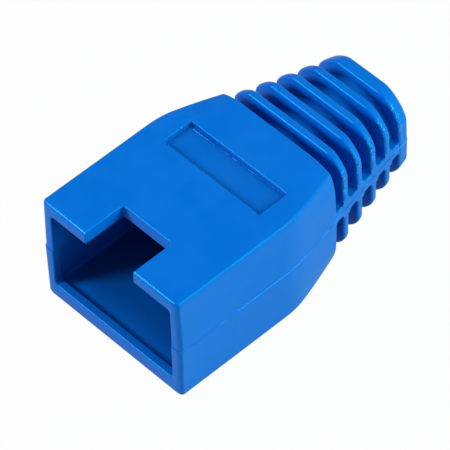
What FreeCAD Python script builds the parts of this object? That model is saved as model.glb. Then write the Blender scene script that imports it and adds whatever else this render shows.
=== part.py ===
"""Slip-on strain relief boot for an eight-way modular plug, moulded in one piece.

The boot lies on its flat base with +Z up. +X runs from the open plug mouth to the
cable end, and the origin is under the middle of its length. Stations are measured
along X from the mouth, and the two mould halves part on the level plane half way up.
All sizes are in millimetres and degrees.
"""
import FreeCAD, Part
import Sketcher
import math
import os

SIZES = {
    # Housing that slides over the back of the plug
    "body_width": 14.0,
    "body_height": 9.8,
    "body_length": 16.05,
    "straight_length": 10.0,
    "bend_length": 2.2,
    "rear_width": 11.95,
    "mouth_corner": 0.45,
    "rear_corner": 2.2,
    "draft_angle": 1.4,
    "parting_radius": 3.0,
    "mouth_rim_fillet": 0.2,
    # Plug cavity, with the lip that keeps the boot on the plug
    "side_wall": 1.0,
    "top_wall": 1.15,
    "floor_wall": 1.15,
    "lip_rise": 0.35,
    "lip_inset": 0.25,
    "lip_depth": 0.9,
    "cavity_depth": 12.4,
    "cavity_corner": 0.35,
    # Notch that leaves the latch of the plug free
    "notch_width": 4.85,
    "notch_depth": 3.7,
    "notch_fillet": 0.15,
    # Sunk panel across the top
    "panel_width": 9.6,
    "panel_length": 2.65,
    "panel_depth": 0.28,
    "panel_setback": 3.65,
    # Ribbed tail that bends with the cable
    "rib_count": 4,
    "rib_thickness": 0.69,
    "rib_gap": 1.03,
    "collar_length": 1.15,
    "tail_step": 0.1,
    "tail_end_width": 8.0,
    "tail_end_height": 8.2,
    "tail_front_corner": 2.2,
    "tail_end_corner": 2.6,
    "spine_height": 1.0,
    "spine_inset": 0.05,
    "core_front_diameter": 7.9,
    "core_end_diameter": 7.2,
    # Bore that grips the cable
    "cable_bore": 6.0,
    "funnel_length": 1.4,
    "funnel_width": 7.4,
}

# Stations, heights and rates that follow from the sizes
PARTING_HEIGHT = "Sizes.body_height / 2"
RIB_PITCH = "(Sizes.rib_thickness + Sizes.rib_gap)"
TAIL_LENGTH = "(Sizes.rib_count * " + RIB_PITCH + " + Sizes.rib_gap + Sizes.collar_length)"
BOOT_LENGTH = "(Sizes.body_length + " + TAIL_LENGTH + ")"
CORE_LENGTH = "(" + TAIL_LENGTH + " - Sizes.collar_length / 2)"
CORE_END = "(Sizes.body_length + " + CORE_LENGTH + ")"
TAPER_LENGTH = "(Sizes.body_length - Sizes.straight_length - Sizes.bend_length / 2)"
WIDTH_RATE = "((Sizes.body_width - Sizes.rear_width) / " + TAPER_LENGTH + ")"
CORNER_RATE = "((Sizes.rear_corner - Sizes.mouth_corner) / " + TAPER_LENGTH + ")"
INNER_WIDTH = "(Sizes.body_width - 2 * Sizes.side_wall)"
LIP_HEIGHT = "(Sizes.floor_wall + Sizes.lip_rise)"
CEILING = "(Sizes.body_height - Sizes.top_wall)"

UPWARD = FreeCAD.Vector(0, 0, 1)
START, END, CENTRE = range(1, 4)
ORIGIN_POINT = (-1, 1)
LEVEL_AXIS, UPRIGHT_AXIS = range(-1, -3, -1)
QUARTER = math.pi / 2
TOLERANCE = 1e-4

document = FreeCAD.newDocument("StrainReliefBoot")


def make_sheet():
    """Put the driving sizes in a spreadsheet, one named cell each."""
    sheet = document.addObject("Spreadsheet::Sheet", "Sizes")
    for row, (alias, value) in enumerate(SIZES.items(), start=1):
        sheet.set("A%d" % row, alias)
        sheet.set("B%d" % row, str(value))
        sheet.setAlias("B%d" % row, alias)
    document.recompute()


make_sheet()
boot = document.addObject("PartDesign::Body", "strain_relief_boot")
boot.Label = "strain_relief_boot"
boot.setExpression("Placement.Base.x", "-" + BOOT_LENGTH + " / 2")


def value_of(expression):
    """Work out an expression on the sheet."""
    return float(boot.evalExpression(expression))


def origin_feature(role):
    """Find one of the body's own origin planes or axes."""
    for feature in boot.Origin.OriginFeatures:
        if feature.Role == role:
            return feature
    raise LookupError(role)


def new_sketch(name, role, offsets):
    """Add a sketch on an origin plane, moved by expressions along the plane's own axes."""
    sketch = boot.newObject("Sketcher::SketchObject", name)
    sketch.AttachmentSupport = (origin_feature(role), "")
    sketch.MapMode = "FlatFace"
    for axis, expression in offsets.items():
        sketch.setExpression("AttachmentOffset.Base." + axis, expression)
    return sketch


def cross_sketch(name, station, height=PARTING_HEIGHT):
    """Add a sketch square to the cable, its own origin on the centre plane at a height."""
    return new_sketch(name, "YZ_Plane", {"y": height, "z": station})


def constrain(sketch, *terms):
    sketch.addConstraint(Sketcher.Constraint(*terms))


def drive(sketch, name, expression, kind, *places):
    """Add a size constraint between places, name it and bind it to the sheet."""
    value = value_of(expression)
    if kind == "Angle":
        value = math.radians(value)
    index = sketch.addConstraint(Sketcher.Constraint(kind, *places, value))
    sketch.renameConstraint(index, name)
    sketch.setExpression("Constraints." + name, expression)


def line(x_start, y_start, x_end, y_end):
    return Part.LineSegment(FreeCAD.Vector(x_start, y_start, 0), FreeCAD.Vector(x_end, y_end, 0))


def arc(x_centre, y_centre, radius, first_angle, last_angle):
    circle = Part.Circle(FreeCAD.Vector(x_centre, y_centre, 0), UPWARD, radius)
    return Part.ArcOfCircle(circle, first_angle, last_angle)


def add_ring(sketch, ring, smooth):
    """Add lines and arcs joined end to start, tangent at the arcs where smooth."""
    first = sketch.GeometryCount
    sketch.addGeometry(ring)
    for index, piece in enumerate(ring):
        following = (index + 1) % len(ring)
        at_arc = isinstance(piece, Part.ArcOfCircle) or isinstance(ring[following], Part.ArcOfCircle)
        joint = "Tangent" if smooth and at_arc else "Coincident"
        constrain(sketch, joint, first + index, END, first + following, START)
    return first


def outside_section(name, station, width, height, corner):
    """Draw an outside section: round corners, and sides drafted from the parting plane."""
    sketch = cross_sketch(name, station)
    half_width = value_of(width) / 2
    half_height = value_of(height) / 2
    radius = value_of(corner)
    crown = value_of("Sizes.parting_radius")
    draft = math.radians(value_of("Sizes.draft_angle"))
    hub = half_width - crown
    crown_x = hub + crown * math.cos(draft)
    crown_y = crown * math.sin(draft)
    rise = half_height - radius
    reach = hub + (crown - radius - rise * math.sin(draft)) / math.cos(draft)
    side_x = reach + radius * math.cos(draft)
    side_y = rise + radius * math.sin(draft)
    add_ring(sketch, [
        arc(hub, 0, crown, -draft, draft),
        line(crown_x, crown_y, side_x, side_y),
        arc(reach, rise, radius, draft, QUARTER),
        line(reach, half_height, -reach, half_height),
        arc(-reach, rise, radius, QUARTER, 2 * QUARTER - draft),
        line(-side_x, side_y, -crown_x, crown_y),
        arc(-hub, 0, crown, 2 * QUARTER - draft, 2 * QUARTER + draft),
        line(-crown_x, -crown_y, -side_x, -side_y),
        arc(-reach, -rise, radius, 2 * QUARTER + draft, 3 * QUARTER),
        line(-reach, -half_height, reach, -half_height),
        arc(reach, -rise, radius, 3 * QUARTER, 4 * QUARTER - draft),
        line(side_x, -side_y, crown_x, -crown_y),
    ], smooth=True)
    right_crown, right_up, top, left_up = 0, 1, 3, 5
    left_crown, left_down, base, right_down = 6, 7, 9, 11
    first_corner, other_corners = 2, (4, 8, 10)
    constrain(sketch, "Horizontal", top)
    constrain(sketch, "Horizontal", base)
    constrain(sketch, "PointOnObject", right_crown, CENTRE, LEVEL_AXIS)
    constrain(sketch, "Symmetric", left_crown, CENTRE, right_crown, CENTRE, UPRIGHT_AXIS)
    constrain(sketch, "Equal", left_crown, right_crown)
    constrain(sketch, "Parallel", right_up, left_down)
    constrain(sketch, "Parallel", right_down, left_up)
    for other in other_corners:
        constrain(sketch, "Equal", first_corner, other)
    drive(sketch, "corner", corner, "Radius", first_corner)
    drive(sketch, "crown", "Sizes.parting_radius", "Radius", right_crown)
    drive(sketch, "crown_centre", width + " / 2 - Sizes.parting_radius", "DistanceX",
          *ORIGIN_POINT, right_crown, CENTRE)
    drive(sketch, "top_height", height + " / 2", "DistanceY", *ORIGIN_POINT, top, START)
    drive(sketch, "base_height", height + " / 2", "DistanceY", base, START, *ORIGIN_POINT)
    drive(sketch, "top_draft", "(90 + Sizes.draft_angle) * 1 deg", "Angle", right_up)
    drive(sketch, "base_draft", "(90 - Sizes.draft_angle) * 1 deg", "Angle", right_down)
    return sketch


def round_rectangle(sketch, width, height, corner):
    """Draw a rectangle with round corners about the sketch's origin."""
    side = value_of(width) / 2
    top = value_of(height) / 2
    radius = value_of(corner)
    reach = side - radius
    rise = top - radius
    add_ring(sketch, [
        line(side, -rise, side, rise),
        arc(reach, rise, radius, 0, QUARTER),
        line(reach, top, -reach, top),
        arc(-reach, rise, radius, QUARTER, 2 * QUARTER),
        line(-side, rise, -side, -rise),
        arc(-reach, -rise, radius, 2 * QUARTER, 3 * QUARTER),
        line(-reach, -top, reach, -top),
        arc(reach, -rise, radius, 3 * QUARTER, 4 * QUARTER),
    ], smooth=True)
    right, first_corner, upper, left, opposite_corner, lower = 0, 1, 2, 4, 5, 6
    other_corners = (3, opposite_corner, 7)
    for side_line in (right, left):
        constrain(sketch, "Vertical", side_line)
    for level_line in (upper, lower):
        constrain(sketch, "Horizontal", level_line)
    for other in other_corners:
        constrain(sketch, "Equal", first_corner, other)
    constrain(sketch, "Symmetric", first_corner, CENTRE, opposite_corner, CENTRE, *ORIGIN_POINT)
    drive(sketch, "corner", corner, "Radius", first_corner)
    drive(sketch, "half_width", width + " / 2", "DistanceX", *ORIGIN_POINT, right, START)
    drive(sketch, "half_height", height + " / 2", "DistanceY", *ORIGIN_POINT, upper, START)


def plain_rectangle(sketch, length, width):
    """Draw a rectangle about the sketch's origin."""
    half_x = value_of(length) / 2
    half_y = value_of(width) / 2
    add_ring(sketch, [
        line(-half_x, -half_y, half_x, -half_y),
        line(half_x, -half_y, half_x, half_y),
        line(half_x, half_y, -half_x, half_y),
        line(-half_x, half_y, -half_x, -half_y),
    ], smooth=False)
    lower, right, upper, left = 0, 1, 2, 3
    constrain(sketch, "Horizontal", lower)
    constrain(sketch, "Horizontal", upper)
    constrain(sketch, "Vertical", left)
    constrain(sketch, "Vertical", right)
    constrain(sketch, "Symmetric", lower, START, upper, START, *ORIGIN_POINT)
    drive(sketch, "length", length, "DistanceX", lower, START, lower, END)
    drive(sketch, "width", width, "DistanceY", right, START, right, END)


def add_feature(kind, name, profile, **settings):
    """Add a feature made from a sketch, with its plain settings."""
    feature = boot.newObject("PartDesign::" + kind, name)
    feature.Profile = profile
    for setting, value in settings.items():
        setattr(feature, setting, value)
    return feature


def add_fillet(name, radius, edges):
    """Round edges of the shape so far."""
    base = boot.Tip
    fillet = boot.newObject("PartDesign::Fillet", name)
    fillet.Base = (base, edges)
    fillet.setExpression("Radius", radius)
    document.recompute()
    return fillet


def edges_where(test):
    """Name the edges of the shape so far that pass a test on their middle and ends."""
    names = []
    for number, edge in enumerate(boot.Tip.Shape.Edges, start=1):
        middle = edge.valueAt((edge.FirstParameter + edge.LastParameter) / 2)
        points = [middle] + [vertex.Point for vertex in edge.Vertexes]
        if test(points):
            names.append("Edge%d" % number)
    return names


def at_station(points, station):
    return all(abs(point.x - station) < TOLERANCE for point in points)


def make_housing():
    """Straight grip, then a tapered rear whose corners grow rounder."""
    mouth = outside_section("mouth_section", "0", "Sizes.body_width", "Sizes.body_height",
                            "Sizes.mouth_corner")
    grip = add_feature("Pad", "straight_grip", mouth)
    grip.setExpression("Length", "Sizes.straight_length")
    # The taper starts as an arc: its fall grows with the square of the way along the bend
    sections = []
    for name, share in (("bend_start", 0.0), ("bend_middle", 0.5), ("bend_end", 1.0)):
        run = "%g * Sizes.bend_length" % share
        fall = "%g * Sizes.bend_length" % (share * share / 2)
        station = "Sizes.straight_length + " + run
        width = "(Sizes.body_width - " + WIDTH_RATE + " * " + fall + ")"
        corner = "(Sizes.mouth_corner + " + CORNER_RATE + " * " + fall + ")"
        sections.append(outside_section(name, station, width, "Sizes.body_height", corner))
    sections.append(outside_section("rear_section", "Sizes.body_length", "Sizes.rear_width",
                                    "Sizes.body_height", "Sizes.rear_corner"))
    add_feature("AdditiveLoft", "tapered_rear", sections[0], Sections=sections[1:], Ruled=True)
    document.recompute()
    add_fillet("mouth_rim", "Sizes.mouth_rim_fillet",
               edges_where(lambda points: at_station(points, 0)))


def tail_size(first, last, station):
    """Write the size part way along the tail, running straight from its front to its end."""
    share = "((" + station + ") - Sizes.body_length) / " + TAIL_LENGTH
    return "(" + first + " + (" + last + " - " + first + ") * " + share + ")"


def tail_width(station):
    front = "(Sizes.rear_width - 2 * Sizes.tail_step)"
    return tail_size(front, "Sizes.tail_end_width", station)


def make_rib(name, front, rear):
    """Add one rib, its outside following the taper of the tail."""
    front_height = "(Sizes.body_height - 2 * Sizes.tail_step)"
    sections = []
    for place, station in (("front", front), ("rear", rear)):
        height = tail_size(front_height, "Sizes.tail_end_height", station)
        corner = tail_size("Sizes.tail_front_corner", "Sizes.tail_end_corner", station)
        sections.append(outside_section(name + "_" + place, station, tail_width(station), height,
                                        corner))
    add_feature("AdditiveLoft", name, sections[0], Sections=sections[1:], Ruled=True)


def make_tail():
    """Round core with a flat spine on each side, carrying the ribs and the end collar."""
    circles = []
    for place, station in (("front", "Sizes.body_length"), ("end", CORE_END)):
        circle = cross_sketch("core_" + place, station)
        diameter = "Sizes.core_" + place + "_diameter"
        circle.addGeometry(Part.Circle(FreeCAD.Vector(), UPWARD, value_of(diameter) / 2))
        constrain(circle, "Coincident", 0, CENTRE, *ORIGIN_POINT)
        drive(circle, "diameter", diameter, "Diameter", 0)
        circles.append(circle)
    add_feature("AdditiveLoft", "core", circles[0], Sections=circles[1:], Ruled=True)
    spine_sections = []
    for place, station in (("front", "Sizes.body_length"), ("rear", CORE_END)):
        width = "(" + tail_width(station) + " - 2 * Sizes.spine_inset)"
        section = cross_sketch("spine_" + place, station)
        plain_rectangle(section, width, "Sizes.spine_height")
        spine_sections.append(section)
    add_feature("AdditiveLoft", "spines", spine_sections[0], Sections=spine_sections[1:], Ruled=True)
    for rib in range(1, int(value_of("Sizes.rib_count")) + 1):
        rear = "Sizes.body_length + %d * %s" % (rib, RIB_PITCH)
        make_rib("rib_%d" % rib, rear + " - Sizes.rib_thickness", rear)
    make_rib("collar", BOOT_LENGTH + " - Sizes.collar_length", BOOT_LENGTH)
    document.recompute()


def make_cavity():
    """Plug cavity behind a low lip, then a funnel into the bore for the cable."""
    opening = cross_sketch("opening_section", "0", "(" + LIP_HEIGHT + " + " + CEILING + ") / 2")
    round_rectangle(opening, INNER_WIDTH, "(" + CEILING + " - " + LIP_HEIGHT + ")",
                    "Sizes.cavity_corner")
    cavity = add_feature("Pocket", "cavity", opening, Reversed=True)
    cavity.setExpression("Length", "Sizes.cavity_depth")
    behind_lip = cross_sketch("behind_lip_section", "Sizes.lip_depth",
                              "(Sizes.floor_wall + " + PARTING_HEIGHT + ") / 2")
    round_rectangle(behind_lip, "(" + INNER_WIDTH + " + 2 * Sizes.lip_inset)",
                    "(" + PARTING_HEIGHT + " - Sizes.floor_wall)", "Sizes.cavity_corner")
    undercut = add_feature("Pocket", "lip_undercut", behind_lip, Reversed=True)
    undercut.setExpression("Length", "Sizes.cavity_depth - Sizes.lip_depth")

    profile = new_sketch("bore_profile", "XZ_Plane", {"x": "Sizes.cavity_depth", "y": PARTING_HEIGHT})
    funnel = value_of("Sizes.funnel_length")
    wide = value_of("Sizes.funnel_width") / 2
    narrow = value_of("Sizes.cable_bore") / 2
    far = value_of(BOOT_LENGTH)
    add_ring(profile, [
        line(0, 0, far, 0),
        line(far, 0, far, narrow),
        line(far, narrow, funnel, narrow),
        line(funnel, narrow, 0, wide),
        line(0, wide, 0, 0),
    ], smooth=False)
    axis, end, bore, mouth = 0, 1, 2, 4
    constrain(profile, "Coincident", axis, START, *ORIGIN_POINT)
    constrain(profile, "Horizontal", axis)
    constrain(profile, "Horizontal", bore)
    constrain(profile, "Vertical", end)
    constrain(profile, "Vertical", mouth)
    drive(profile, "reach", BOOT_LENGTH, "DistanceX", *ORIGIN_POINT, axis, END)
    drive(profile, "funnel_length", "Sizes.funnel_length", "DistanceX", *ORIGIN_POINT, bore, END)
    drive(profile, "bore_radius", "Sizes.cable_bore / 2", "DistanceY", *ORIGIN_POINT, bore, END)
    drive(profile, "funnel_radius", "Sizes.funnel_width / 2", "DistanceY", *ORIGIN_POINT, mouth, START)
    add_feature("Groove", "cable_bore", profile, ReferenceAxis=(profile, ["H_Axis"]), Angle=360.0)
    document.recompute()


def make_top_cuts():
    """Latch notch at the mouth, and the shallow sunk panel near the rear."""
    outline = new_sketch("notch_outline", "XY_Plane", {"z": "Sizes.body_height"})
    plain_rectangle(outline, "2 * Sizes.notch_depth", "Sizes.notch_width")
    notch = add_feature("Pocket", "latch_notch", outline)
    notch.setExpression("Length", "Sizes.body_height / 2")
    centre = "Sizes.body_length - Sizes.panel_setback - Sizes.panel_length / 2"
    panel_outline = new_sketch("panel_outline", "XY_Plane", {"x": centre, "z": "Sizes.body_height"})
    plain_rectangle(panel_outline, "Sizes.panel_length", "Sizes.panel_width")
    panel = add_feature("Pocket", "sunk_panel", panel_outline)
    panel.setExpression("Length", "Sizes.panel_depth")
    document.recompute()
    top = value_of("Sizes.body_height")
    depth = value_of("Sizes.notch_depth")
    half = value_of("Sizes.notch_width") / 2

    def on_notch(points):
        return all(abs(point.z - top) < TOLERANCE and point.x < depth + TOLERANCE
                   and abs(point.y) < half + TOLERANCE for point in points)

    add_fillet("notch_edges", "Sizes.notch_fillet", edges_where(on_notch))


def check_and_export():
    """Stop on any failed object, then write the boot's solid."""
    for item in document.Objects:
        if "Invalid" in item.State or "Error" in item.State:
            raise RuntimeError(item.Name + " failed: " + ", ".join(item.State))
    shape = boot.Shape
    if shape.isNull() or not shape.isValid() or len(shape.Solids) != 1:
        raise RuntimeError("the boot is not one valid solid")
    os.makedirs("parts", exist_ok=True)
    shape.exportStep(os.path.join("parts", boot.Label + ".step"))
    print("%s: %.1f mm3, %s" % (boot.Label, shape.Volume, shape.BoundBox))


make_housing()
make_tail()
make_cavity()
make_top_cuts()
document.recompute()
check_and_export()
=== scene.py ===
import math
import bmesh
import bpy
from bpy.props import FloatProperty, FloatVectorProperty, IntProperty, PointerProperty
from mathutils import Matrix, Vector


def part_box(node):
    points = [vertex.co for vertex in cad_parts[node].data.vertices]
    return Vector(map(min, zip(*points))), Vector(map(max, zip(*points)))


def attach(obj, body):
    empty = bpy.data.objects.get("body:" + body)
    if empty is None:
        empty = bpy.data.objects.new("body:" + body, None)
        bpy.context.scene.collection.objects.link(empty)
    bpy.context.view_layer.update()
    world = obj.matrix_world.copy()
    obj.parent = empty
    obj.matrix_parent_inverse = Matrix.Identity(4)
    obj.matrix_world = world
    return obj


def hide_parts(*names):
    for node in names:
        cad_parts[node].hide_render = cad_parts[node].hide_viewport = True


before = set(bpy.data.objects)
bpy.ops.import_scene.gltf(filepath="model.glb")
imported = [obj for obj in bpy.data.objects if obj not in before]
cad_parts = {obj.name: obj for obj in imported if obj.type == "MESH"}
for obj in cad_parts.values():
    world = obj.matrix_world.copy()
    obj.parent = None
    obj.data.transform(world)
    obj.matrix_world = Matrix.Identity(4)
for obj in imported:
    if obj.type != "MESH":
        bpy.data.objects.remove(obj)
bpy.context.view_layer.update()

bl_info = {
    "name": "Strain Relief Boot",
    "version": (1, 0, 0),
    "blender": (4, 5, 0),
    "location": "View3D > Sidebar > Boot",
    "description": "Builds a moulded strain relief boot for a modular plug, and its studio",
    "category": "Add Mesh",
}

NODE = "strain_relief_boot"
MM = 0.001
LOW, HIGH = (Vector(corner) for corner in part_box(NODE))
AXIS_HEIGHT = (LOW.z + HIGH.z) / 2
HALF_HEIGHT = (HIGH.z - LOW.z) / 2
# Room for the bead on the parting line, and height of the small ledge beside it
FLASH = 0.015 * MM
LEDGE = 0.05 * MM
# Steps round a corner, and round an edge
STEPS = 14
ROUND_STEPS = 5
# Steps on each side of the middle of a creased corner, and the degrees that they cover
CREASE_STEPS = 3
CREASE_FROM, CREASE_TO = 41.0, 49.0
# How round the crease gets at the rear, and how late along the taper
CREASE_FADE, CREASE_DELAY = 0.6, 1.5
# The roundings at both ends of the housing reach this many times as far in on the sides
RIM_BREADTH = 1.5
# Rings nearer to the mouth than this are set back in their upper half
MOUTH_ZONE = 0.5 * MM
# Corners of the ribs are flatter in their middle than a circle, whose power is 1
CORNER_POWER = 1.3


def length(name, description, millimetres):
    """Describe a length in metres by its default in millimetres."""
    return FloatProperty(name=name, description=description, default=millimetres * MM,
                         unit="LENGTH", precision=5)


def share(name, description, default):
    """Describe a plain number from 0 to 1."""
    return FloatProperty(name=name, description=description, default=default, min=0, max=1)


def colour(name, description, default):
    """Describe a linear colour."""
    return FloatVectorProperty(name=name, description=description, default=default,
                               size=3, min=0, max=1, subtype="COLOR")


# ------------------------------------------------------------------ settings

class HousingSizes(bpy.types.PropertyGroup):
    """Sizes of the box that slides over the plug"""
    width: length("Width", "Width across the parting line at the mouth", 14.0)
    straight: length("Straight length", "Length of the straight part from the mouth", 10.0)
    bend: length("Bend length", "Length over which the sides turn into the taper", 2.2)
    length: length("Length", "Length of the whole housing", 16.05)
    rear_width: length("Rear width", "Width across the parting line at the rear", 11.95)
    mouth_corner: length("Mouth corner", "Radius of the long corners at the mouth", 0.3)
    rear_corner: length("Rear corner", "Radius of the long corners at the rear", 2.4)
    draft: FloatProperty(name="Draft", description="Lean of the sides away from the parting line",
                         default=math.radians(1.4), subtype="ANGLE")
    parting_step: length("Parting step", "How far the lower half stands proud of the upper", 0.03)
    mouth_step: length("Mouth step", "How far the upper half stands back at the mouth", 0.06)
    rim_radius: length("Rim radius", "Rounding of the edge round the mouth", 0.32)
    rear_radius: length("Rear radius", "Rounding of the rear edge", 0.07)
    notch_width: length("Notch width", "Width of the latch notch", 4.85)
    notch_depth: length("Notch depth", "Depth of the latch notch from the mouth", 3.7)
    notch_radius: length("Notch radius", "Rounding of the top edge of the notch", 0.13)
    panel_width: length("Panel width", "Width of the sunk panel", 9.6)
    panel_length: length("Panel length", "Length of the sunk panel", 2.65)
    panel_depth: length("Panel depth", "Depth of the sunk panel", 0.38)
    panel_setback: length("Panel setback", "Distance from the panel to the rear", 3.65)


class CavitySizes(bpy.types.PropertyGroup):
    """Sizes of the plug cavity and the cable bore"""
    side_wall: length("Side wall", "Thickness of the side walls", 1.0)
    top_wall: length("Top wall", "Thickness of the top wall", 1.15)
    floor_wall: length("Floor wall", "Thickness of the floor", 1.15)
    lip_rise: length("Lip rise", "Height of the lip above the floor", 0.35)
    lip_inset: length("Lip inset", "How far the cavity widens behind the lip", 0.25)
    lip_depth: length("Lip depth", "Depth of the lip from the mouth", 0.6)
    depth: length("Depth", "Depth of the plug cavity", 12.4)
    corner: length("Corner", "Radius of the corners of the cavity", 0.35)
    edge_radius: length("Edge radius", "Rounding of the inner edge of the mouth", 0.12)
    bore: length("Bore", "Diameter of the cable bore", 6.0)
    funnel_width: length("Funnel width", "Diameter of the funnel into the bore", 7.4)
    funnel_length: length("Funnel length", "Length of the funnel into the bore", 1.4)


class TailSizes(bpy.types.PropertyGroup):
    """Sizes of the ribbed tail"""
    rib_count: IntProperty(name="Ribs", description="Number of ribs before the end collar",
                           default=4, min=1, max=12)
    rib_thickness: length("Rib thickness", "Thickness of each rib", 0.69)
    rib_gap: length("Rib gap", "Width of each slot", 1.03)
    collar: length("Collar length", "Length of the end collar", 1.15)
    step: length("Step", "Step down from the housing to the tail", 0.1)
    end_width: length("End width", "Width at the end of the tail", 8.0)
    end_height: length("End height", "Height at the end of the tail", 8.2)
    front_corner: length("Front corner", "Corner size where the tail starts", 1.55)
    end_corner: length("End corner", "Corner size at the end of the tail", 2.25)
    core_front: length("Core at the front", "Diameter of the core next to the housing", 7.9)
    core_end: length("Core at the end", "Diameter of the core inside the collar", 7.2)
    spine_height: length("Spine height", "Height of the flat spine on each side", 1.0)
    edge_radius: length("Edge radius", "Rounding of the edges of the ribs", 0.26)


class FinishSettings(bpy.types.PropertyGroup):
    """Colour and gloss of the moulded plastic, with painted glints and painted shade"""
    base: colour("Base", "Colour of the plastic", (0.0, 0.104, 0.49))
    sheen_tint: colour("Reflection tint", "Tint of the soft reflections", (0.0, 0.8, 1.0))
    roughness: share("Roughness", "Roughness of the satin skin", 0.31)
    grain: length("Grain", "Size of the finest grain", 0.12)
    # Pale painted glints on the rough specks of the ribs, standing in for highlights
    painted_glint: colour("Scuff", "Colour of the scuffs on worn edges", (0.08, 0.38, 0.95))
    # Painted shade on the floor of the sunk panel
    painted_panel_shade: colour("Panel shade", "Darker tone in the sunk panel", (0.0, 0.02, 0.12))
    # Painted shade deep inside the mouth
    painted_cavity_shade: colour("Cavity shade", "Darker tone inside the mouth", (0.0, 0.02, 0.1))
    seed: FloatProperty(name="Seed", description="Offset of the patterns", default=3.0)


class StudioSettings(bpy.types.PropertyGroup):
    """Floor, lamps and camera"""
    floor_size: length("Floor size", "Width of the round floor", 3000.0)
    floor_colour: colour("Floor", "Colour of the floor", (0.38, 0.38, 0.38))
    key_power: FloatProperty(name="Key", description="Power of the overhead lamp",
                             default=0.45, unit="POWER")
    side_power: FloatProperty(name="Side", description="Power of the lamp beside the housing",
                              default=7.4, unit="POWER")
    edge_power: FloatProperty(name="Edge", description="Power of the small lamp for the long edge",
                              default=1.5, unit="POWER")
    front_power: FloatProperty(name="Front", description="Power of the lamp before the mouth",
                               default=4.0, unit="POWER")
    side_tint: colour("Side tint", "Tint of the lamp beside the housing", (0.2, 1.0, 0.76))
    air: share("Surroundings", "Brightness of the even light from all round", 0.27)
    middle: FloatVectorProperty(name="Middle", description="Point that the camera turns about",
                                default=(0.44 * MM, 0.0, 5 * MM), size=3, unit="LENGTH",
                                precision=5)
    azimuth: FloatProperty(name="Azimuth", description="Turn of the camera about that point",
                           default=math.radians(-42.306), subtype="ANGLE")
    elevation: FloatProperty(name="Elevation", description="Height angle of the camera",
                             default=math.radians(48.83), subtype="ANGLE")
    roll: FloatProperty(name="Roll", description="Tilt of the camera about its own line of sight",
                        default=math.radians(-2.051), subtype="ANGLE")
    distance: length("Distance", "Distance from the camera to that point", 316.389)
    lens: FloatProperty(name="Lens", description="Focal length", default=360.0, unit="CAMERA")
    aim_across: length("Aim across", "Sideways offset of the line of sight", -1.52)
    aim_up: length("Aim up", "Upward offset of the line of sight", -1.91)


class BootSettings(bpy.types.PropertyGroup):
    """All that the boot and its studio are made from"""
    housing: PointerProperty(type=HousingSizes, name="Housing")
    cavity: PointerProperty(type=CavitySizes, name="Cavity")
    tail: PointerProperty(type=TailSizes, name="Tail")
    finish: PointerProperty(type=FinishSettings, name="Finish")
    studio: PointerProperty(type=StudioSettings, name="Studio")


# ------------------------------------------------------------- node writing

class Wire:
    """An output socket that takes part in plain arithmetic."""

    def __init__(self, graph, socket):
        self.graph = graph
        self.socket = socket

    def math(self, operation, *values):
        """Add a maths node on the given values, of which this wire is usually one."""
        inputs = dict(enumerate(values))
        return self.graph.node("ShaderNodeMath", {"operation": operation}, inputs)

    def __add__(self, other):
        return self.math("ADD", self, other)

    def __radd__(self, other):
        return self.math("ADD", other, self)

    def __sub__(self, other):
        return self.math("SUBTRACT", self, other)

    def __rsub__(self, other):
        return self.math("SUBTRACT", other, self)

    def __mul__(self, other):
        return self.math("MULTIPLY", self, other)

    def __rmul__(self, other):
        return self.math("MULTIPLY", other, self)

    def __truediv__(self, other):
        return self.math("DIVIDE", self, other)

    def __rtruediv__(self, other):
        return self.math("DIVIDE", other, self)

    def __mod__(self, other):
        return self.math("FLOORED_MODULO", self, other)

    def __pow__(self, other):
        return self.math("POWER", self, other)

    def __lt__(self, other):
        return self.math("LESS_THAN", self, other)

    def __gt__(self, other):
        return self.math("GREATER_THAN", self, other)

    def __abs__(self):
        return self.math("ABSOLUTE", self)

    def floor(self):
        return self.math("FLOOR", self)

    def sine(self):
        return self.math("SINE", self)

    def cosine(self):
        return self.math("COSINE", self)

    def clamp(self):
        """Keep from 0 to 1."""
        return self.math("MINIMUM", self.math("MAXIMUM", self, 0.0), 1.0)

    def ramp(self, start, end):
        """Rise smoothly from 0 at start to 1 at end."""
        return self.graph.node("ShaderNodeMapRange", {"interpolation_type": "SMOOTHSTEP"},
                               {"Value": self, "From Min": start, "From Max": end})

    def band(self, *limits):
        """Rise from the first limit to the second, and fall from the third to the fourth, in mm."""
        start, full, fade, end = (limit * MM for limit in limits)
        return self.ramp(start, full) * (1 - self.ramp(fade, end))


class Graph:
    """A node tree that is filled by one method."""

    def __init__(self, tree):
        self.tree = tree

    def node(self, kind, settings=None, inputs=None, output=0):
        """Add a node, its settings first, then the values or wires of its inputs."""
        node = self.tree.nodes.new(kind)
        for key, value in (settings or {}).items():
            setattr(node, key, value)
        for key, value in (inputs or {}).items():
            if isinstance(value, Wire):
                self.tree.links.new(value.socket, node.inputs[key])
            else:
                node.inputs[key].default_value = value
        return Wire(self, node.outputs[output]) if node.outputs else None

    def split(self, vector):
        """Give the three parts of a vector."""
        node = self.node("ShaderNodeSeparateXYZ", None, {0: vector}).socket.node
        return [Wire(self, socket) for socket in node.outputs]

    def join(self, x, y, z):
        """Make a vector of three parts."""
        return self.node("ShaderNodeCombineXYZ", None, {0: x, 1: y, 2: z})

    def mix(self, factor, first, second):
        """Blend two colours."""
        return self.node("ShaderNodeMix", {"data_type": "RGBA"}, {0: factor, 6: first, 7: second}, 2)


# ---------------------------------------------------------------- materials

WHITE = (1.0, 1.0, 1.0, 1.0)


def new_material(name):
    """Add an empty material, and give it with the graph of its nodes."""
    material = bpy.data.materials.new(name)
    material.use_nodes = True
    material.node_tree.nodes.clear()
    return material, Graph(material.node_tree)


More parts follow.
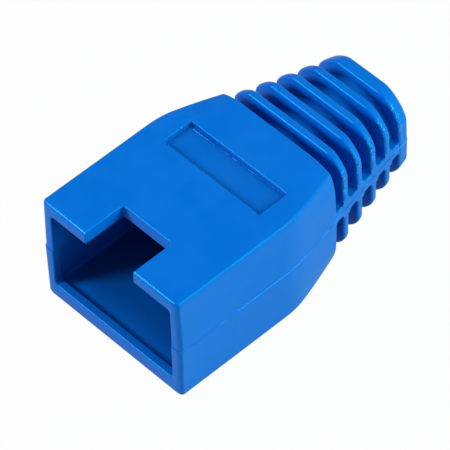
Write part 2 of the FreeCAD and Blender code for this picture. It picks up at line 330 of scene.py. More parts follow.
def noise(graph, place, scale, detail, seed):
    """Solid noise about an average of one half."""
    offset = graph.node("ShaderNodeVectorMath", {"operation": "ADD"},
                        {0: place, 1: (seed, seed / 2, -seed)})
    return graph.node("ShaderNodeTexNoise", {"noise_dimensions": "3D"},
                      {"Vector": offset, "Scale": scale, "Detail": detail, "Roughness": 0.55})


def opaque(tint):
    """Add full opacity to a colour."""
    return tuple(tint) + (1.0,)


def rough_glint_specks(graph, boot, place):
    """Rough specks with pale painted glints on the front edges of the ribs, at their upper near
    corners.
    """
    x, y, z = graph.split(place)
    pitch = boot.tail.rib_gap + boot.tail.rib_thickness
    along = (x - LOW.x - boot.housing.length - boot.tail.rib_gap) % pitch
    front = along.band(0.0, 0.1, 0.28, 0.45)
    upper = (z - AXIS_HEIGHT).band(1.3, 2.0, 3.5, 3.9)
    outer = (0.0 - y).ramp(2.2 * MM, 3.0 * MM)
    speck = noise(graph, place, scale=7000.0, detail=1.0, seed=boot.finish.seed + 9)
    return front * upper * outer * speck.ramp(0.54, 0.62)


def in_panel(graph, housing, place):
    """1 inside the sunk panel, from just under its rim, where shade is painted."""
    margin = 0.05 * MM
    x, y, z = graph.split(place)
    middle = LOW.x + housing.length - housing.panel_setback - housing.panel_length / 2
    along = abs(x - middle) < housing.panel_length / 2 + margin
    aside = abs(y) < housing.panel_width / 2 + margin
    return along * aside * (z > HIGH.z - housing.panel_depth - margin) * (z < HIGH.z - margin)


def in_cavity(graph, boot, place):
    """Rises from 0 at the mouth to 1 within the plug cavity, where shade is painted."""
    margin = 0.05 * MM
    x, y, z = graph.split(place)
    aside = abs(y) < boot.housing.width / 2 - boot.cavity.side_wall + 2 * margin
    upward = abs(z - AXIS_HEIGHT) < HALF_HEIGHT - boot.cavity.top_wall + margin
    depth = x - LOW.x
    return aside * upward * depth.ramp(0.3 * MM, 3 * MM) * (depth < boot.cavity.depth + margin)


def soft_plastic(name, glints=False, highlight_lift=1.0):
    """Satin soft plastic: cloudy flow in the colour, fine grain, painted shade in the sunk panel
    and deep in the mouth, and rough specks with painted glints.

    Lift is how many times as light as the finish it is; above 1 it paints a highlight.
    """
    boot = bpy.context.scene.boot
    finish = boot.finish
    material, graph = new_material(name)
    place = graph.node("ShaderNodeTexCoord", output=3)
    grain = noise(graph, place, scale=1 / finish.grain, detail=2.0, seed=finish.seed)
    cloud = noise(graph, place, scale=260.0, detail=3.0, seed=finish.seed + 2)
    swirl = noise(graph, place, scale=900.0, detail=4.0, seed=finish.seed + 5)
    base = [part * highlight_lift + 0.03 * (highlight_lift - 1) for part in finish.base]
    deep = [part * 0.97 for part in base]
    pale = [base[0] + 0.002] + [min(part * 1.02, 1) for part in base[1:]]
    flow = (cloud * 0.7 + swirl * 0.3).ramp(0.35, 0.65)
    tone = graph.mix(flow, opaque(deep), opaque(pale))
    height = grain
    # Rough specks on the rib corners: bumps, and pale painted glints in the colour
    if glints:
        glinting = rough_glint_specks(graph, boot, place)
        height = height + glinting * 1.5
        tone = graph.mix(glinting * 0.55, tone, opaque(finish.painted_glint))
    # Painted shade on the floor of the sunk panel
    sunk = in_panel(graph, boot.housing, place)
    tone = graph.mix(sunk * 0.16, tone, opaque(finish.painted_panel_shade))
    # Painted shade deep inside the mouth
    tone = graph.mix(in_cavity(graph, boot, place) * 0.5, tone, opaque(finish.painted_cavity_shade))
    bump = graph.node("ShaderNodeBump", None,
                      {"Strength": 0.25, "Distance": 0.012 * MM, "Height": height})
    surface = graph.node("ShaderNodeBsdfPrincipled", None, {
        "Base Color": tone,
        "Roughness": (finish.roughness + (cloud - 0.5) * 0.14).clamp(),
        "IOR": 1.39,
        "Specular IOR Level": 0.5,
        "Specular Tint": opaque(finish.sheen_tint),
        "Normal": bump,
    })
    graph.node("ShaderNodeOutputMaterial", None, {"Surface": surface})
    return material


def plain_plastic():
    """The plastic without the rib specks and their painted glints, made once."""
    return bpy.data.materials.get("boot_satin") or soft_plastic("boot_satin")


def floor_paper(name):
    """Pale paper that shows white and keeps a soft shadow."""
    studio = bpy.context.scene.boot.studio
    material, graph = new_material(name)
    place = graph.node("ShaderNodeTexCoord", output=3)
    fibre = noise(graph, place, scale=300.0, detail=3.0, seed=1.0)
    lit = graph.node("ShaderNodeBsdfDiffuse", None,
                     {"Color": graph.mix(fibre * 0.03, opaque(studio.floor_colour), WHITE)})
    bright = graph.node("ShaderNodeEmission", None, {"Color": WHITE, "Strength": 1.0})
    rays = graph.node("ShaderNodeLightPath").socket.node.outputs
    seen = (Wire(graph, rays["Is Camera Ray"]) + Wire(graph, rays["Is Glossy Ray"]) * 0.2
            + Wire(graph, rays["Is Transmission Ray"])).clamp()
    surface = graph.node("ShaderNodeMixShader", None, {0: seen * 0.97, 1: lit, 2: bright})
    graph.node("ShaderNodeOutputMaterial", None, {"Surface": surface})
    return material


# ------------------------------------------------------------------- meshes

def spread(first, last, steps):
    """Evenly spaced numbers from first to last."""
    return [first + (last - first) * i / steps for i in range(steps + 1)]


def section(upper, lower):
    """Outline of a section about the axis, of an upper and a lower half.

    Each half is given by its half width, half height, corner radius and lean. In a circle the
    curve starts at the parting line, so there the ledge lies folded against it.
    """
    points = []
    for quarter in range(4):
        side = 1 if quarter in (0, 3) else -1
        rise = 1 if quarter < 2 else -1
        wide, tall, corner, lean = upper if rise > 0 else lower
        centre_y = side * (wide - lean * (tall - corner) - corner)
        centre_z = rise * (tall - corner)
        angles = spread(quarter * math.pi / 2, (quarter + 1) * math.pi / 2, STEPS)
        curve = [(centre_y + corner * math.cos(angle), centre_z + corner * math.sin(angle))
                 for angle in angles]
        parting = [(side * wide, 0.0), (side * wide, rise * LEDGE)]
        points += parting + curve if quarter % 2 == 0 else curve + parting[::-1]
    return points


def ring_solid(name, rows, setback=0.0):
    """Join closed rings into a tube that closes on itself, the upper half set back at the mouth.

    The lower half's two points at the parting line go half of the way back.
    """
    mesh = bmesh.new()
    rings = []
    for x, outline in rows:
        late = setback if x < MOUTH_ZONE else 0.0
        half = len(outline) // 2
        parts = [1.0] * half + [0.5] + [0.0] * (half - 2) + [0.5]
        rings.append([mesh.verts.new((LOW.x + x + late * part, y, AXIS_HEIGHT + z))
                      for part, (y, z) in zip(parts, outline)])
    count = len(rings[0])
    for first, second in zip(rings, rings[1:] + rings[:1]):
        for i in range(count):
            j = (i + 1) % count
            mesh.faces.new((first[i], first[j], second[j], second[i]))
    return finish_mesh(name, mesh)


def finish_mesh(name, mesh):
    """Merge doubles, turn the faces outwards and make an object."""
    bmesh.ops.remove_doubles(mesh, verts=mesh.verts[:], dist=1e-7)
    bmesh.ops.dissolve_degenerate(mesh, edges=mesh.edges[:], dist=1e-7)
    bmesh.ops.recalc_face_normals(mesh, faces=mesh.faces[:])
    data = bpy.data.meshes.new(name)
    mesh.to_mesh(data)
    mesh.free()
    piece = bpy.data.objects.new(name, data)
    bpy.context.scene.collection.objects.link(piece)
    return piece


def layered_cutter(name, outline, levels):
    """Closed block from an outline of points with outward directions, and (height, growth) levels."""
    mesh = bmesh.new()
    layers = []
    for height, growth in levels:
        layers.append([mesh.verts.new((LOW.x + x + out_x * growth, y + out_y * growth, height))
                       for x, y, out_x, out_y in outline])
    count = len(outline)
    for lower, upper in zip(layers, layers[1:]):
        for i in range(count):
            j = (i + 1) % count
            mesh.faces.new((lower[i], lower[j], upper[j], upper[i]))
    mesh.faces.new(layers[0])
    mesh.faces.new(layers[-1])
    return finish_mesh(name, mesh)


def empty_piece(name):
    """Add an object with an empty mesh, for a tree to fill."""
    piece = bpy.data.objects.new(name, bpy.data.meshes.new(name))
    bpy.context.scene.collection.objects.link(piece)
    return piece


def bake(piece):
    """Turn a piece with modifiers into a plain mesh."""
    graph = bpy.context.evaluated_depsgraph_get()
    data = bpy.data.meshes.new_from_object(piece.evaluated_get(graph))
    data.name = piece.name
    piece.modifiers.clear()
    piece.data = data
    return piece


def cut(piece, cutters):
    """Take the cutters out of a piece."""
    for cutter in cutters:
        modifier = piece.modifiers.new(cutter.name, "BOOLEAN")
        modifier.operation = "DIFFERENCE"
        modifier.solver = "EXACT"
        modifier.object = cutter
    bake(piece)
    for cutter in cutters:
        bpy.data.objects.remove(cutter)


def shade(piece, angle=30.0):
    """Shade smoothly with flats kept flat."""
    data = piece.data
    data.polygons.foreach_set("use_smooth", [True] * len(data.polygons))
    data.set_sharp_from_angle(angle=math.radians(angle))
    modifier = piece.modifiers.new("flats", "WEIGHTED_NORMAL")
    modifier.keep_sharp = True
    modifier.mode = "FACE_AREA"
    modifier.weight = 100
    return bake(piece)


def hand_over(piece, material):
    """Give the piece its finish and its place in the frame."""
    piece.data.materials.clear()
    piece.data.materials.append(material)
    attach(piece, "root")
    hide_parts(NODE)


def crease_point(turn, corner, radius, fade):
    """Place on a corner, inward from its two planes: sharp where fade is 0, round where it is 1.

    Turn runs from 0 on the side to 1 on the flat, through a narrow crease in its middle.
    """
    first = (STEPS / 2 - CREASE_STEPS) / STEPS
    if turn < first:
        sharp = (0.0, radius + (corner - radius) * (1 - turn / first))
        angle = CREASE_FROM * turn / first
    elif turn > 1 - first:
        sharp = (radius + (corner - radius) * (turn - 1 + first) / first, 0.0)
        angle = 90 - (90 - CREASE_TO) * (1 - turn) / first
    else:
        part = (turn - first) / (1 - 2 * first)
        bend = part * math.pi / 2
        sharp = (radius * (1 - math.cos(bend)), radius * (1 - math.sin(bend)))
        angle = CREASE_FROM + (CREASE_TO - CREASE_FROM) * part
    bend = math.radians(angle)
    soft = (corner * (1 - math.cos(bend)), corner * (1 - math.sin(bend)))
    return [a + (b - a) * fade for a, b in zip(sharp, soft)]


def housing_outline(housing, station, inset=0.0):
    """Outline of the housing's outside at a station, the lower half standing proud."""
    taper = housing.length - housing.straight - housing.bend / 2
    run = max(station - housing.straight, 0.0)
    bent = min(run, housing.bend)
    fall = (bent * bent / (2 * housing.bend) + max(run - housing.bend, 0.0)) / taper
    width = housing.width - (housing.width - housing.rear_width) * fall
    fade = CREASE_FADE * fall ** CREASE_DELAY
    tall = HALF_HEIGHT - inset
    lean = math.tan(housing.draft)
    points = []
    for quarter in range(4):
        side = 1 if quarter in (0, 3) else -1
        rise = 1 if quarter < 2 else -1
        step = housing.parting_step if rise > 0 else 0.0
        wide = width / 2 - FLASH - step - inset * RIM_BREADTH
        curve = []
        for i in range(STEPS + 1):
            turn = i / STEPS if quarter % 2 == 0 else 1 - i / STEPS
            away, down = crease_point(turn, housing.rear_corner, housing.mouth_corner, fade)
            curve.append((side * (wide - away - lean * (tall - down)), rise * (tall - down)))
        slope = 0.0 if rise > 0 else LEDGE / 2
        parting = [(side * (wide - slope), 0.0), (side * wide, rise * LEDGE)]
        points += parting + curve if quarter % 2 == 0 else curve + parting[::-1]
    return points


def circle(diameter):
    """Outline of a circle about the axis."""
    half = (diameter / 2, diameter / 2, diameter / 2, 0.0)
    return section(half, half)


def rounding(radius):
    """Steps round an edge: how far along, and how far in, from the end face to the side."""
    for angle in spread(0, math.pi / 2, ROUND_STEPS):
        yield radius * (1 - math.cos(angle)), radius * (1 - math.sin(angle))


def housing_rows(housing, cavity):
    """Stations and outlines of the housing, along its outside and back through its inside."""
    rows = []
    for along, inset in rounding(housing.rim_radius):
        rows.append((along, housing_outline(housing, along, inset)))
    taper = housing.straight + housing.bend
    stations = spread(housing.straight, taper, 8)
    stations += spread(taper, housing.length - housing.rear_radius, 3)[1:]
    rows += [(station, housing_outline(housing, station)) for station in stations]
    for along, inset in reversed(list(rounding(housing.rear_radius))):
        station = housing.length - along
        rows.append((station, housing_outline(housing, station, inset)))
    rows.append((housing.length, circle(cavity.bore)))
    rows.append((cavity.depth + cavity.funnel_length, circle(cavity.bore)))
    rows.append((cavity.depth, circle(cavity.funnel_width)))
    half_width = housing.width / 2 - cavity.side_wall
    above = HALF_HEIGHT - cavity.top_wall
    below = HALF_HEIGHT - cavity.floor_wall
    upper = (half_width, above, cavity.corner, 0.0)
    lower = (half_width + cavity.lip_inset, below, cavity.corner, 0.0)
    lip = (half_width, below - cavity.lip_rise, cavity.corner, 0.0)
    rows.append((cavity.depth, section(upper, lower)))
    rows.append((cavity.lip_depth, section(upper, lower)))
    rows.append((cavity.lip_depth, section(upper, lip)))
    for growth, along in rounding(cavity.edge_radius):
        halves = [(wide + growth, tall + growth, corner, lean)
                  for wide, tall, corner, lean in (upper, lip)]
        rows.append((along, section(*halves)))
    return rows


def notch_cutter(housing):
    """Block for the latch notch, flared where the edges of the notch are round."""
    half = housing.notch_width / 2
    depth = housing.notch_depth
    radius = housing.notch_radius
    flare = radius * 1.6
    inner = 0.12 * MM
    side = [(-MM, half + flare, 0.0, 1.0)]
    for angle in spread(math.pi, math.pi * 1.5, ROUND_STEPS):
        out_x, out_y = math.cos(angle), math.sin(angle)
        side.append((flare + flare * out_x, half + flare + flare * out_y, -out_x, -out_y))
    for angle in spread(math.pi / 2, 0, ROUND_STEPS):
        out_x, out_y = math.cos(angle), math.sin(angle)
        side.append((depth - inner + inner * out_x, half - inner + inner * out_y, out_x, out_y))
    outline = side + [(x, -y, out_x, -out_y) for x, y, out_x, out_y in reversed(side)]
    levels = [(AXIS_HEIGHT, 0.0)]
    for angle in spread(0, math.pi / 2, ROUND_STEPS):
        levels.append((HIGH.z - radius + radius * math.sin(angle), radius * (1 - math.cos(angle))))
    levels.append((HIGH.z + MM, radius))
    return layered_cutter("notch_cutter", outline, levels)


def panel_cutter(housing):
    """Block for the sunk panel, with a fine rounding on its upper edge.

    No level of the block lies in the plane of the top, and it flares a little above it, so that
    the cut stays clean.
    """
    rear = housing.length - housing.panel_setback
    front = rear - housing.panel_length
    half = housing.panel_width / 2
    corner = 0.1 * MM
    outline = []
    places = ((rear, half, 0), (front, half, 1), (front, -half, 2), (rear, -half, 3))
    for x, y, quarter in places:
        centre_x = x + (corner if quarter in (1, 2) else -corner)
        centre_y = y + (corner if quarter > 1 else -corner)
        for angle in spread(quarter * math.pi / 2, (quarter + 1) * math.pi / 2, ROUND_STEPS):
            out_x, out_y = math.cos(angle), math.sin(angle)
            outline.append((centre_x + corner * out_x, centre_y + corner * out_y, out_x, out_y))
    floor = HIGH.z - housing.panel_depth
    edge = 0.12 * MM
    brow = HIGH.z + 0.004 * MM
    flare = 0.02 * MM
    levels = [(floor, 0.0)]
    levels += [(brow - down, growth) for growth, down in rounding(edge)]
    levels += [(HIGH.z + MM, edge + flare)]
    return layered_cutter("panel_cutter", outline, levels)


class BOOT_OT_housing(bpy.types.Operator):
    """Add the housing with its plug cavity, latch notch and sunk panel"""
    bl_idname = "boot.housing"
    bl_label = "Housing"

    def execute(self, context):
        boot = context.scene.boot
        rows = housing_rows(boot.housing, boot.cavity)
        piece = ring_solid("boot_housing", rows, boot.housing.mouth_step)
        cut(piece, [notch_cutter(boot.housing), panel_cutter(boot.housing)])
        shade(piece)
        hand_over(piece, plain_plastic())
        return {"FINISHED"}


# --------------------------------------------------------------------- tail

def tail_length(tail):
    """Length of the tail from the housing to the end of the collar."""
    return tail.rib_count * (tail.rib_thickness + tail.rib_gap) + tail.rib_gap + tail.collar


def tail_half_width(boot, station):
    """Half width of the tail's envelope at a station."""
    front = boot.housing.rear_width / 2 - boot.tail.step - FLASH
    part = (station - boot.housing.length) / tail_length(boot.tail)
    return front + (boot.tail.end_width / 2 - front) * part


def core_middle(boot):
    """Radius halfway through the wall of the core."""
    return (boot.tail.core_end + boot.cavity.bore) / 4


class BOOT_OT_core(bpy.types.Operator):
    """Add the round core of the tail with its two flat spines"""
    bl_idname = "boot.core"
    bl_label = "Core and spines"

    def execute(self, context):
        boot = context.scene.boot
        overlap, clearance = 0.3 * MM, 0.03 * MM
        start = boot.housing.length - overlap
        end = boot.housing.length + tail_length(boot.tail) - boot.tail.collar / 2
        bore = boot.cavity.bore + 2 * clearance
        core = ring_solid("boot_core", [
            (start, circle(boot.tail.core_front)), (end, circle(boot.tail.core_end)),
            (end, circle(bore)), (start, circle(bore)),
        ])
        hand_over(shade(core), plain_plastic())
        mesh = bmesh.new()
        for side in (1, -1):
            rings = [[mesh.verts.new((LOW.x + station, side * y, AXIS_HEIGHT + z))
                      for y, z in self.spine_profile(boot, station, tall)]
                     for station, tall in self.spine_heights(boot)]
            count = len(rings[0])
            for first, second in zip(rings, rings[1:]):
                for i in range(count):
                    j = (i + 1) % count
                    mesh.faces.new((first[i], first[j], second[j], second[i]))
            mesh.faces.new(rings[0])
            mesh.faces.new(rings[-1])
        hand_over(shade(finish_mesh("boot_spines", mesh)), plain_plastic())
        return {"FINISHED"}

    def spine_heights(self, boot):
        """Stations and half heights of a spine, which swells in a curve towards each rib."""
        tail = boot.tail
        half = tail.spine_height / 2
        fillet = 0.35 * MM
        pitch = tail.rib_gap + tail.rib_thickness
        for slot in range(tail.rib_count + 1):
            start = boot.housing.length + slot * pitch
            for part in spread(0, 1, 12):
                away = min(part, 1 - part) * tail.rib_gap
                short = max(fillet - away, 0.0)
                swell = fillet - math.sqrt(fillet * fillet - short * short)
                yield start + part * tail.rib_gap, half + swell

    def spine_profile(self, boot, station, tall):
        """Outline of a spine: its upper half, then its lower half that stands proud."""
        root = core_middle(boot)
        edge = 0.08 * MM
        wide = tail_half_width(boot, station)
        proud = wide - boot.housing.parting_step
        return [(root, tall), (proud - edge, tall), (proud, tall - edge), (proud, 0.0),
                (wide, 0.0), (wide, edge - tall), (wide - edge, -tall), (root, -tall)]


def new_geometry_tree(name, numbers):
    """Make a geometry tree with inputs for a mesh, a material and the named numbers.

    Give its graph and the wires of its inputs by name.
    """
    tree = bpy.data.node_groups.new(name, "GeometryNodeTree")
    face = tree.interface
    face.new_socket("Geometry", in_out="OUTPUT", socket_type="NodeSocketGeometry")
    kinds = {"Geometry": "Geometry", **{label: "Float" for label in numbers},
             "Material": "Material"}
    for label, kind in kinds.items():
        face.new_socket(label, in_out="INPUT", socket_type="NodeSocket" + kind)
    graph = Graph(tree)
    group = tree.nodes.new("NodeGroupInput")
    wires = {socket.name: Wire(graph, socket) for socket in group.outputs if socket.name}
    return graph, wires


def run_tree(piece, graph, values):
    """Put the tree on a piece, set its inputs by name, and keep the result."""
    modifier = piece.modifiers.new(graph.tree.name, "NODES")
    for item in graph.tree.interface.items_tree:
        if item.in_out == "INPUT" and item.name in values:
            modifier[item.identifier] = values[item.name]
    modifier.node_group = graph.tree
    bake(piece)


def rib_tree():
    """Ribs as rings of a rounded profile, repeated down the tail and shrunk along its taper."""
    # Points of a quarter and of a whole ring, and rings of a rib with its bore at both ends
    corner_points = STEPS + 2
    around, rows = 4 * corner_points, 2 * ROUND_STEPS + 4
    # Whole numbers get this much before they are rounded down
    nudge = 0.001
    graph, given = new_geometry_tree("ribs", (
        "Ribs", "First", "Pitch", "Thickness", "Collar", "Tail length", "Front width",
        "End width", "Front height", "End height", "Front corner", "End corner", "Lean",
        "Parting step", "Edge", "Root", "Bore", "Start", "Height"))
    index = graph.node("GeometryNodeInputIndex")
    grid = graph.node("GeometryNodeMeshGrid", None,
                      {"Vertices X": rows + 1, "Vertices Y": around + 1})
    for name, value in (("row", (index / (around + 1) + nudge).floor()),
                        ("column", index % (around + 1))):
        grid = graph.node("GeometryNodeStoreNamedAttribute", {"data_type": "FLOAT"},
                          {"Geometry": grid, "Name": name, "Value": value})
    line = graph.node("GeometryNodeMeshLine", None, {"Count": given["Ribs"] + 1})
    copies = graph.node("GeometryNodeInstanceOnPoints", None, {"Points": line, "Instance": grid})
    copies = graph.node("GeometryNodeStoreNamedAttribute",
                        {"data_type": "FLOAT", "domain": "INSTANCE"},
                        {"Geometry": copies, "Name": "number", "Value": index})
    solid = graph.node("GeometryNodeRealizeInstances", None, {"Geometry": copies})

    def stored(name):
        return graph.node("GeometryNodeInputNamedAttribute", {"data_type": "FLOAT"}, {"Name": name})

    number = stored("number")
    row = stored("row") % rows
    column = stored("column") % around
    collar = number > given["Ribs"] - 0.5
    thickness = given["Thickness"] + collar * (given["Collar"] - given["Thickness"])
    front = row < ROUND_STEPS + 1.5
    turn = front * (row - 1) + (1 - front) * (2 * ROUND_STEPS + 2 - row)
    angle = (turn / ROUND_STEPS).clamp() * (math.pi / 2)
    along = given["Edge"] * (1 - angle.cosine())
    inset = given["Edge"] * (1 - angle.sine())
    x = (given["First"] + number * given["Pitch"] + front * along
         + (1 - front) * (thickness - along))
    inner = (row < 0.5) + (row > 2 * ROUND_STEPS + 2.5)
    part = x / given["Tail length"]

    def tapered(name):
        first, last = given["Front " + name], given["End " + name]
        return first + (last - first) * part

    corner = tapered("corner")
    tall = tapered("height") / 2
    quarter = ((column + nudge) / corner_points).floor()
    place = column - quarter * corner_points
    odd = quarter % 2
    theta = (quarter + ((place - (1 - odd)) / STEPS).clamp()) * (math.pi / 2)
    parting = (1 - odd) * (place < 0.5) + odd * (place > STEPS + 0.5)
    side = 1 - 2 * (abs(quarter - 1.5) < 1.0)
    low = quarter > 1.5
    rise = 1 - 2 * low
    wide = tapered("width") / 2 - (1 - low) * given["Parting step"]
    centre = side * (wide - given["Lean"] * (tall - corner) - corner)
    across = abs(theta.cosine()) ** CORNER_POWER
    upward = abs(theta.sine()) ** CORNER_POWER
    outer_y = centre + side * (corner - inset) * across
    outer_z = rise * (tall - corner) + rise * (corner - inset) * upward
    outer_y = outer_y + parting * (side * (wide - inset) - outer_y)
    outer_z = outer_z * (1 - parting)
    root = given["Root"] + collar * (given["Bore"] - given["Root"])
    y = outer_y + inner * (root * theta.cosine() - outer_y)
    z = outer_z + inner * (root * theta.sine() - outer_z)
    solid = graph.node("GeometryNodeSetPosition", None, {
        "Geometry": solid, "Position": graph.join(given["Start"] + x, y, given["Height"] + z)})
    solid = graph.node("GeometryNodeMergeByDistance", None, {"Geometry": solid, "Distance": 1e-7})
    solid = graph.node("GeometryNodeFlipFaces", None, {"Mesh": solid})
    for name in ("row", "column", "number"):
        solid = graph.node("GeometryNodeRemoveAttribute", None, {"Geometry": solid, "Name": name})
    solid = graph.node("GeometryNodeSetMaterial", None,
                       {"Geometry": solid, "Material": given["Material"]})
    graph.node("NodeGroupOutput", None, {"Geometry": solid})
    return graph


class BOOT_OT_ribs(bpy.types.Operator):
    """Add the ribs and the end collar, which follow the taper of the tail"""
    bl_idname = "boot.ribs"
    bl_label = "Ribs and collar"

    def execute(self, context):
        boot = context.scene.boot
        housing, tail = boot.housing, boot.tail
        finish = soft_plastic("boot_ribs_satin", glints=True)
        piece = empty_piece("boot_ribs")
        run_tree(piece, rib_tree(), {
            "Ribs": float(tail.rib_count), "First": tail.rib_gap,
            "Pitch": tail.rib_gap + tail.rib_thickness, "Thickness": tail.rib_thickness,
            "Collar": tail.collar, "Tail length": tail_length(tail),
            "Front width": 2 * tail_half_width(boot, housing.length),
            "End width": tail.end_width,
            "Front height": HIGH.z - LOW.z - 2 * tail.step, "End height": tail.end_height,
            "Front corner": tail.front_corner, "End corner": tail.end_corner,
            "Lean": math.tan(housing.draft), "Parting step": housing.parting_step,
            "Edge": tail.edge_radius, "Root": core_middle(boot),
            "Bore": boot.cavity.bore / 2, "Start": LOW.x + housing.length,
            "Height": AXIS_HEIGHT, "Material": finish,
        })
        hand_over(shade(piece), finish)
        return {"FINISHED"}


def flash_tree():
    """Thin uneven bead of plastic along a line, thicker in some places than in others."""
    graph, given = new_geometry_tree("flash", ("Radius", "Spacing", "Wander", "Patch", "Seed"))
    line = graph.node("GeometryNodeMeshToCurve", None, {"Mesh": given["Geometry"]})
    line = graph.node("GeometryNodeResampleCurve", {"mode": "LENGTH"},
                      {"Curve": line, "Length": given["Spacing"]})
    place = graph.node("GeometryNodeInputPosition")
    shifted = graph.node("ShaderNodeVectorMath", {"operation": "ADD"},
                         {0: place, 1: graph.join(given["Seed"], 0.0, 0.0)})
    uneven = graph.node("ShaderNodeTexNoise", None,
                        {"Vector": shifted, "Scale": 1 / given["Patch"], "Detail": 3.0})
    fine = graph.node("ShaderNodeTexNoise", None,
                      {"Vector": shifted, "Scale": 4 / given["Patch"], "Detail": 2.0})
    line = graph.node("GeometryNodeSetPosition", None, {
        "Geometry": line,
        "Offset": graph.join(0.0, 0.0, (fine - 0.5) * given["Wander"])})
    across = graph.node("GeometryNodeCurvePrimitiveCircle", None,
                        {"Resolution": 6, "Radius": given["Radius"]})
    swell = uneven.ramp(0.46, 0.6) * 0.85 + 0.15
    bead = graph.node("GeometryNodeCurveToMesh", None,
                      {"Curve": line, "Profile Curve": across, "Scale": swell, "Fill Caps": True})
    bead = graph.node("GeometryNodeRealizeInstances", None, {"Geometry": bead})
    bead = graph.node("GeometryNodeSetMaterial", None,
                      {"Geometry": bead, "Material": given["Material"]})
    graph.node("NodeGroupOutput", None, {"Geometry": bead})
    return graph


class BOOT_OT_flash(bpy.types.Operator):
    """Add the fine bead where the mould halves meet, and one on the floor of the panel, both with a
    painted highlight
    """
    bl_idname = "boot.flash"
    bl_label = "Parting line"
    # The bead in the panel stops this short of the sides, and leans this far forwards
    panel_margin, panel_slant = 0.4 * MM, 0.22 * MM

    def execute(self, context):
        boot = context.scene.boot
        housing = boot.housing
        end = housing.length + tail_length(boot.tail) - boot.tail.edge_radius
        mesh = bmesh.new()
        for side in (1, -1):
            self.add_path(mesh, [
                (station, side * (self.half_width(housing, station) - FLASH), AXIS_HEIGHT)
                for station in spread(housing.rim_radius, housing.length, 40)])
            self.add_path(mesh, [
                (station, side * (tail_half_width(boot, station) - FLASH), AXIS_HEIGHT)
                for station in spread(housing.length, end, 20)])
        rear = housing.length - housing.panel_setback - FLASH
        half = housing.panel_width / 2 - self.panel_margin
        self.add_path(mesh, [
            (rear - self.panel_slant * part, half * (2 * part - 1), HIGH.z - housing.panel_depth)
            for part in spread(0, 1, 30)])
        piece = finish_mesh("boot_flash", mesh)
        # Both beads are painted lighter than the plastic: a painted highlight along them
        finish = soft_plastic("boot_flash_painted_highlight", highlight_lift=2.2)
        run_tree(piece, flash_tree(), {
            "Radius": 1.9 * FLASH, "Spacing": 0.12 * MM, "Wander": 0.05 * MM,
            "Patch": 1.6 * MM, "Seed": boot.finish.seed, "Material": finish,
        })
        hand_over(shade(piece, 60.0), finish)
        return {"FINISHED"}

    def half_width(self, housing, station):
        """Greatest half width of the housing at a station."""
        return max(y for y, z in housing_outline(housing, station))

    def add_path(self, mesh, places):
        """Add a line of edges through the places, which are measured from the mouth."""
        points = [mesh.verts.new((LOW.x + s, y, z)) for s, y, z in places]
        for pair in zip(points, points[1:]):
            mesh.edges.new(pair)


# -------------------------------------------------------------------- stage

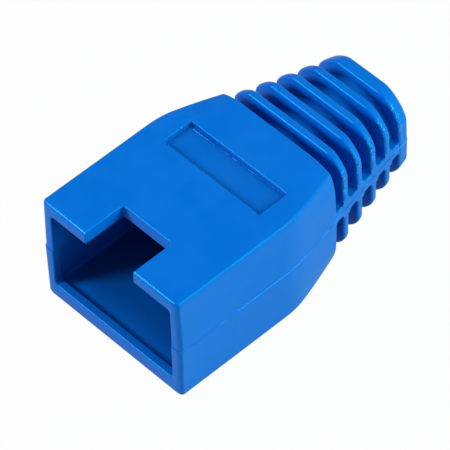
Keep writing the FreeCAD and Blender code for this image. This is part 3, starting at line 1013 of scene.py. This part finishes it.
class BOOT_OT_stage(bpy.types.Operator):
    """Add the floor, the lamps, the surroundings and the camera"""
    bl_idname = "boot.stage"
    bl_label = "Stage"

    def execute(self, context):
        studio = context.scene.boot.studio
        mesh = bmesh.new()
        bmesh.ops.create_circle(mesh, cap_ends=True, segments=96, radius=studio.floor_size / 2)
        floor = finish_mesh("floor", mesh)
        floor.data.transform(Matrix.Translation((0, 0, LOW.z)))
        floor.data.materials.append(floor_paper("floor_paper"))
        self.add_world(context, studio.air)
        self.add_lamp(context, "key_lamp", studio.key_power, size=0.5, place=(-0.05, 0.05, 0.6))
        side = self.add_lamp(context, "side_lamp", studio.side_power, size=0.65,
                             place=(0.35, -0.5, 0.28), tint=studio.side_tint)
        side.visible_glossy = False
        self.add_lamp(context, "edge_lamp", studio.edge_power, size=0.3, place=(0.28, -0.5, 0.3))
        self.add_lamp(context, "front_lamp", studio.front_power, size=0.2, place=(-0.45, 0.3, 0.3))
        self.add_camera(context, studio)
        return {"FINISHED"}

    def add_world(self, context, strength):
        world = bpy.data.worlds.new("studio")
        world.use_nodes = True
        world.node_tree.nodes.clear()
        graph = Graph(world.node_tree)
        air = graph.node("ShaderNodeBackground", None, {"Color": WHITE, "Strength": strength})
        graph.node("ShaderNodeOutputWorld", None, {"Surface": air})
        context.scene.world = world

    def add_lamp(self, context, name, power, size, place, tint=(1.0, 1.0, 1.0)):
        """Add a round lamp that points at the origin."""
        lamp = bpy.data.lights.new(name, "AREA")
        lamp.color = tint
        lamp.shape = "DISK"
        lamp.size = size
        lamp.energy = power
        holder = bpy.data.objects.new(name, lamp)
        holder.location = place
        holder.rotation_euler = (-Vector(place)).to_track_quat("-Z", "Y").to_euler()
        context.scene.collection.objects.link(holder)
        return holder

    def add_camera(self, context, studio):
        """Add the camera, which looks a little beside the point that it turns about."""
        camera = bpy.data.cameras.new("camera")
        camera.lens = studio.lens
        camera.sensor_width = 36.0
        camera.clip_start = 0.01
        flat = math.cos(studio.elevation)
        towards = Vector((flat * math.sin(studio.azimuth), -flat * math.cos(studio.azimuth),
                          math.sin(studio.elevation)))
        across = (-towards).cross(Vector((0, 0, 1))).normalized()
        upward = across.cross(-towards)
        turn = Matrix.Rotation(studio.roll, 3, towards)
        across, upward = turn @ across, turn @ upward
        middle = Vector(studio.middle)
        place = middle + towards * studio.distance
        aim = middle + studio.aim_across * across + studio.aim_up * upward
        back = (place - aim).normalized()
        across = upward.cross(back).normalized()
        upward = back.cross(across)
        basis = Matrix((across, upward, back)).transposed().to_4x4()
        holder = bpy.data.objects.new("camera", camera)
        holder.matrix_world = Matrix.Translation(place) @ basis
        context.scene.collection.objects.link(holder)
        context.scene.camera = holder


class BOOT_PT_panel(bpy.types.Panel):
    """Lists the pieces of the boot and their sizes"""
    bl_label = "Strain Relief Boot"
    bl_idname = "BOOT_PT_panel"
    bl_space_type = "VIEW_3D"
    bl_region_type = "UI"
    bl_category = "Boot"

    def draw(self, context):
        boot = context.scene.boot
        for operator, group in STEPS_IN_ORDER:
            self.layout.operator(operator.bl_idname)
            box = self.layout.box()
            settings = getattr(boot, group)
            for key in settings.bl_rna.properties.keys():
                if key not in ("rna_type", "name"):
                    box.prop(settings, key)


STEPS_IN_ORDER = (
    (BOOT_OT_housing, "housing"),
    (BOOT_OT_core, "cavity"),
    (BOOT_OT_ribs, "tail"),
    (BOOT_OT_flash, "finish"),
    (BOOT_OT_stage, "studio"),
)
CLASSES = (HousingSizes, CavitySizes, TailSizes, FinishSettings, StudioSettings, BootSettings,
           BOOT_OT_housing, BOOT_OT_core, BOOT_OT_ribs, BOOT_OT_flash, BOOT_OT_stage,
           BOOT_PT_panel)


def register():
    for item in CLASSES:
        bpy.utils.register_class(item)
    bpy.types.Scene.boot = PointerProperty(type=BootSettings)


def unregister():
    del bpy.types.Scene.boot
    for item in reversed(CLASSES):
        bpy.utils.unregister_class(item)


def main():
    register()
    bpy.context.scene.view_settings.view_transform = "Standard"
    bpy.ops.boot.housing()
    bpy.ops.boot.core()
    bpy.ops.boot.ribs()
    bpy.ops.boot.flash()
    bpy.ops.boot.stage()
    bpy.context.view_layer.update()


if __name__ == "__main__":
    main()
